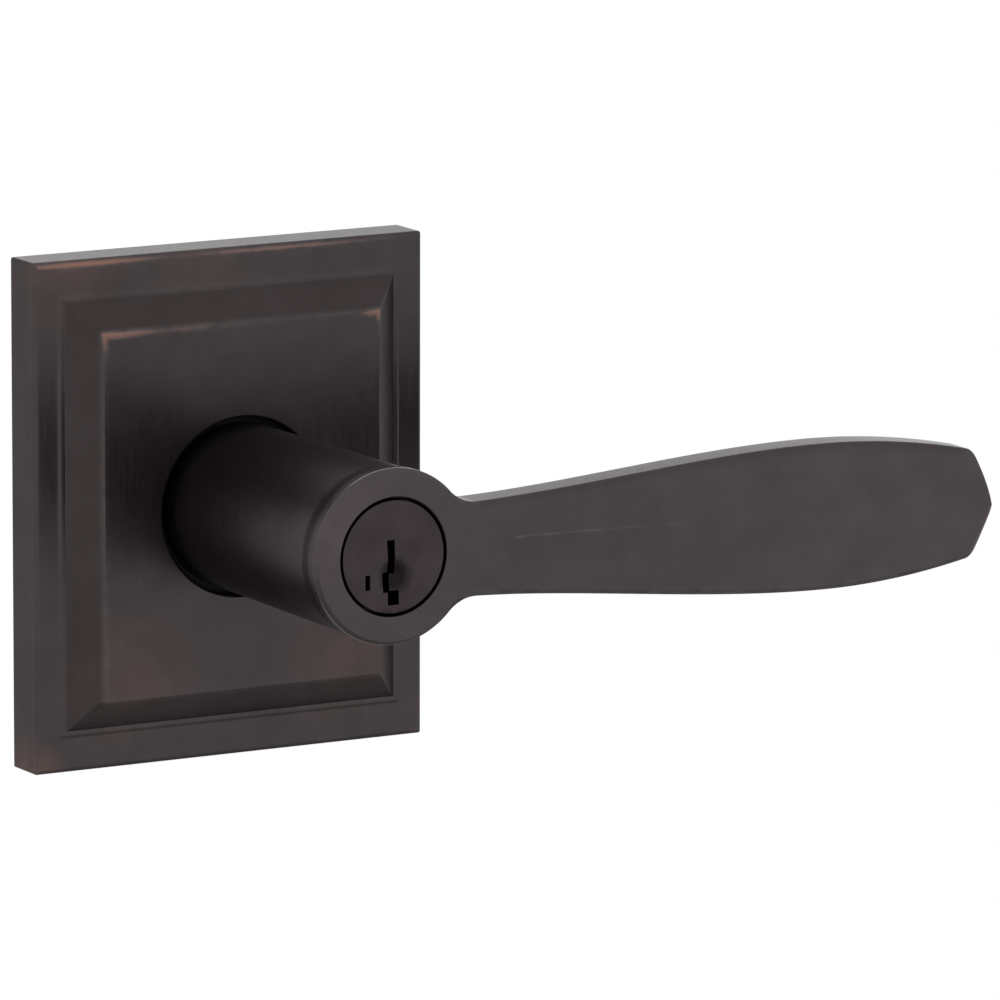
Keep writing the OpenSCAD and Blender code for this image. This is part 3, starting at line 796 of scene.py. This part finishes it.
def plated(name, colour, tint, roughness, grain=(1, 1, 1)):
    """Plated or drawn metal: colour drifts between two shades, with a grain and small scuffs."""
    s = Shader(name)
    cloud = s.noise(0.12, detail=4, roughness=0.6)
    scuff = s.noise(1.6, stretch=grain, detail=4)
    fine = s.noise(8.0, detail=2)
    s.set(Base_Color=s.mix(s.ramp(cloud, 0.35, 0.65), (*colour, 1), (*tint, 1)))
    rough = s.ramp(scuff, 0.3, 0.7, roughness - 0.06, roughness + 0.08)
    s.set(Roughness=s.combine("ADD", rough, s.ramp(fine, 0.3, 0.7, -0.02, 0.02)))
    s.set(Metallic=1.0)
    s.bump(s.combine("ADD", scuff, fine), 0.004)
    return s.material


def nylon(name):
    """Black moulded nylon with a fine matt grain."""
    s = Shader(name)
    grain = s.noise(5.0, detail=3)
    s.set(Base_Color=s.mix(s.ramp(grain, 0.3, 0.7), (0.004, 0.004, 0.004, 1), (0.009, 0.009, 0.009, 1)))
    s.set(Roughness=s.ramp(grain, 0.3, 0.7, 0.5, 0.64), Specular_IOR_Level=0.15)
    s.bump(grain, 0.012)
    return s.material


def dress_cad_nodes(spring_finish):
    """Gives every carried CAD node its finish, by the record's slot names, and breaks its sharp edges, all
    but the return spring's.
    """
    finishes = {
        "plug_bronze": plug_bronze("plug_finish"),
        "zinc_plated_steel": plated("zinc_plate", (0.50, 0.51, 0.53), (0.58, 0.585, 0.56), 0.34),
        "bright_zinc": plated(
            "bright_zinc_plate", (0.60, 0.60, 0.60), (0.68, 0.675, 0.64), 0.26, grain=(1, 6, 1)
        ),
        "spring_steel": spring_finish,
        "cylinder_brass": plated(
            "turned_brass", (0.60, 0.42, 0.16), (0.68, 0.52, 0.24), 0.28, grain=(1, 4, 1)
        ),
        # Near-black brass for the cylinder shell, whose front shows only in the thin gap round the plug:
        # painted shade for that gap.
        "blackened_brass": plated(
            "near_black_brass_gap_shade", (0.018, 0.015, 0.014), (0.03, 0.025, 0.022), 0.4
        ),
        "bush_nylon": nylon("black_nylon"),
    }
    for name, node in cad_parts.items():
        if node.hide_render:
            continue
        slot = node.material_slots[0].material.name
        for material_slot in node.material_slots:
            material_slot.material = finishes[slot]
        if name != "return_spring":
            soften(node, weld=True, edge=0.12)


# ---------- studio ----------

def make_floor():
    """A pale grey floor well below the wall-hung lockset."""
    half, level = 1.2, -0.6
    corners = [(-half, -half, level), (half, -half, level), (half, half, level), (-half, half, level)]
    mesh = bpy.data.meshes.new("studio_floor")
    mesh.from_pydata(corners, [], [(0, 1, 2, 3)])
    floor = bpy.data.objects.new("studio_floor", mesh)
    bpy.context.scene.collection.objects.link(floor)
    s = Shader("floor_paint")
    s.set(Base_Color=s.mix(s.noise(0.002), (0.54, 0.54, 0.54, 1), (0.57, 0.57, 0.57, 1)))
    s.set(Roughness=0.9)
    mesh.materials.append(s.material)


def make_light():
    """Plain soft studio light: a white surround and a soft panel behind that lights the top faces."""
    world = bpy.data.worlds.new("studio")
    world.use_nodes = True
    world.node_tree.nodes["Background"].inputs["Color"].default_value = (1, 1, 1, 1)
    world.node_tree.nodes["Background"].inputs["Strength"].default_value = 1.0
    bpy.context.scene.world = world
    lamp = bpy.data.lights.new("backdrop_glow", "AREA")
    lamp.size = 1.0
    lamp.energy = 2.6
    panel = bpy.data.objects.new("backdrop_glow", lamp)
    panel.location = (1.0, 1.75, 0.42)
    panel.rotation_euler = (-panel.location).to_track_quat("-Z", "Y").to_euler()
    bpy.context.scene.collection.objects.link(panel)


def make_camera():
    """Looks at the lockset from its front left, a little above, through a long lens."""
    azimuth, elevation, roll = -29.491, 10.367, 0.125
    distance = 1593.15
    shift_right, shift_up = 45.572, -0.879
    a, e, r = (math.radians(degrees) for degrees in (azimuth, elevation, roll))
    back = Vector((math.sin(a) * math.cos(e), -math.cos(a) * math.cos(e), math.sin(e)))
    right = Vector((0, 0, 1)).cross(back).normalized()
    up = back.cross(right)
    right, up = math.cos(r) * right + math.sin(r) * up, -math.sin(r) * right + math.cos(r) * up
    lens = bpy.data.cameras.new("camera")
    lens.sensor_width = 36.0
    lens.lens = 368.06
    lens.clip_start, lens.clip_end = 0.05, 60.0
    camera = bpy.data.objects.new("camera", lens)
    bpy.context.scene.collection.objects.link(camera)
    turn = Matrix((right, up, back)).transposed().to_4x4()
    spot = (right * shift_right + up * shift_up + back * distance) * MM
    camera.matrix_world = Matrix.Translation(spot) @ turn
    bpy.context.scene.camera = camera


make_camera()
make_light()
make_floor()
make_rosette()
make_lever()
spring_steel = plated("drawn_spring_steel", (0.26, 0.27, 0.29), (0.34, 0.34, 0.35), 0.3, grain=(1, 5, 1))
make_tumbler_springs(spring_steel)
make_catch_spring(spring_steel)
dress_cad_nodes(spring_steel)
bpy.context.scene.view_settings.view_transform = "Standard"
bpy.context.view_layer.update()
